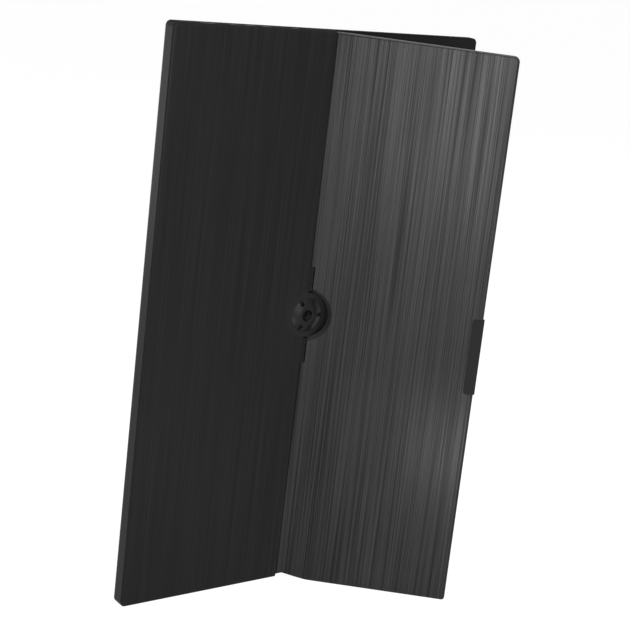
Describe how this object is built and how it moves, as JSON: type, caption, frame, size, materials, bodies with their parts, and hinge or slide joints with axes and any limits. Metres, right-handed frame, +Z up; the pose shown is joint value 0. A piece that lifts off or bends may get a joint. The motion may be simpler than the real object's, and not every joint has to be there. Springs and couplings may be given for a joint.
{
  "type": "portable monitor with stand flap",
  "caption": "Slim portable screen in a brushed case whose half-width back flap swings out on a centre-line hinge as a stand, with a threaded hub.",
  "frame": {"origin": "middle of the bottom end face, at mid-width and mid-thickness of the body, standing on its short edge", "axes": "+Z up along the long side, +X across towards the flap's side, -Y out of the back"},
  "size_m": [0.2264, 0.0846, 0.36],
  "materials": {
    "housing_plastic": "brushed dark grey plastic, satin",
    "flap_plastic": "brushed dark grey plastic, satin",
    "bezel_plastic": "fine matt black",
    "hub_plastic": "smooth, half gloss",
    "key_plastic": "fine matt black",
    "flap_plate": "fine spark texture",
    "polariser": "dark anti-glare film",
    "cell_glass": "thin ground-edge glass",
    "white_film": "white film",
    "clear_acrylic": "clear",
    "circuit_board": "solder resist",
    "chip_black": "moulded epoxy",
    "amber_film": "polyimide film",
    "tray_metal": "rolled sheet",
    "black_tape": "foam tape",
    "screw_steel": "plated",
    "black_screw": "black oxide",
    "leaf_steel": "black coated steel",
    "pin_steel": "blackened, ground",
    "black_rubber": "matt rubber"
  },
  "bodies": {
    "monitor": {"rear_housing": "housing_plastic", "front_bezel": "bezel_plastic", "polariser_film": "polariser", "lcd_cell": "cell_glass", "diffuser_films": "white_film", "light_guide": "clear_acrylic", "reflector_sheet": "white_film", "backlight_led_bar": "circuit_board", "panel_tray": "tray_metal", "panel_tapes": "black_tape", "driver_board": "circuit_board", "driver_films": "amber_film", "panel_flex": "amber_film", "main_board": "circuit_board", "scaler_chip": "chip_black", "board_components": "chip_black", "board_screws": "screw_steel", "usb_c_shell": "screw_steel", "usb_c_tongue": "chip_black", "tact_switches": "chip_black", "status_light_pipe": "clear_acrylic", "hub_ring": "hub_plastic", "tripod_insert": "black_screw", "hub_backing_plate": "leaf_steel", "hub_screws": "screw_steel", "upper_hinge_body_leaf": "leaf_steel", "lower_hinge_body_leaf": "leaf_steel", "upper_hinge_pin": "pin_steel", "lower_hinge_pin": "pin_steel", "friction_washers": "black_screw", "body_leaf_screws": "screw_steel"},
    "stand_flap": {"flap_cover": "flap_plastic", "flap_inner_plate": "flap_plate", "flap_stiffener": "tray_metal", "upper_hinge_flap_leaf": "leaf_steel", "lower_hinge_flap_leaf": "leaf_steel", "flap_leaf_screws": "black_screw", "flap_bumpers": "black_rubber", "pull_tab": "black_rubber"},
    "power_key": {"power_button": "key_plastic"},
    "menu_key": {"menu_button": "key_plastic"},
    "up_key": {"up_button": "key_plastic"},
    "down_key": {"down_button": "key_plastic"}
  },
  "joints": [
    {"name": "stand_hinge", "type": "hinge", "parent": "monitor", "child": "stand_flap", "pos_m": [0.00195, -0.00305, 0.18], "axis": [0, 0, -1], "range_deg": [-42, 53]},
    {"name": "power_press", "type": "slide", "parent": "monitor", "child": "power_key", "axis": [0, 0, -1], "range_m": [0, 0.0004], "stiffness_N_per_m": 1500, "springref_m": -0.0003},
    {"name": "menu_press", "type": "slide", "parent": "monitor", "child": "menu_key", "axis": [0, 0, -1], "range_m": [0, 0.0004], "stiffness_N_per_m": 1500, "springref_m": -0.0003},
    {"name": "up_press", "type": "slide", "parent": "monitor", "child": "up_key", "axis": [0, 0, -1], "range_m": [0, 0.0004], "stiffness_N_per_m": 1500, "springref_m": -0.0003},
    {"name": "down_press", "type": "slide", "parent": "monitor", "child": "down_key", "axis": [0, 0, -1], "range_m": [0, 0.0004], "stiffness_N_per_m": 1500, "springref_m": -0.0003}
  ]
}
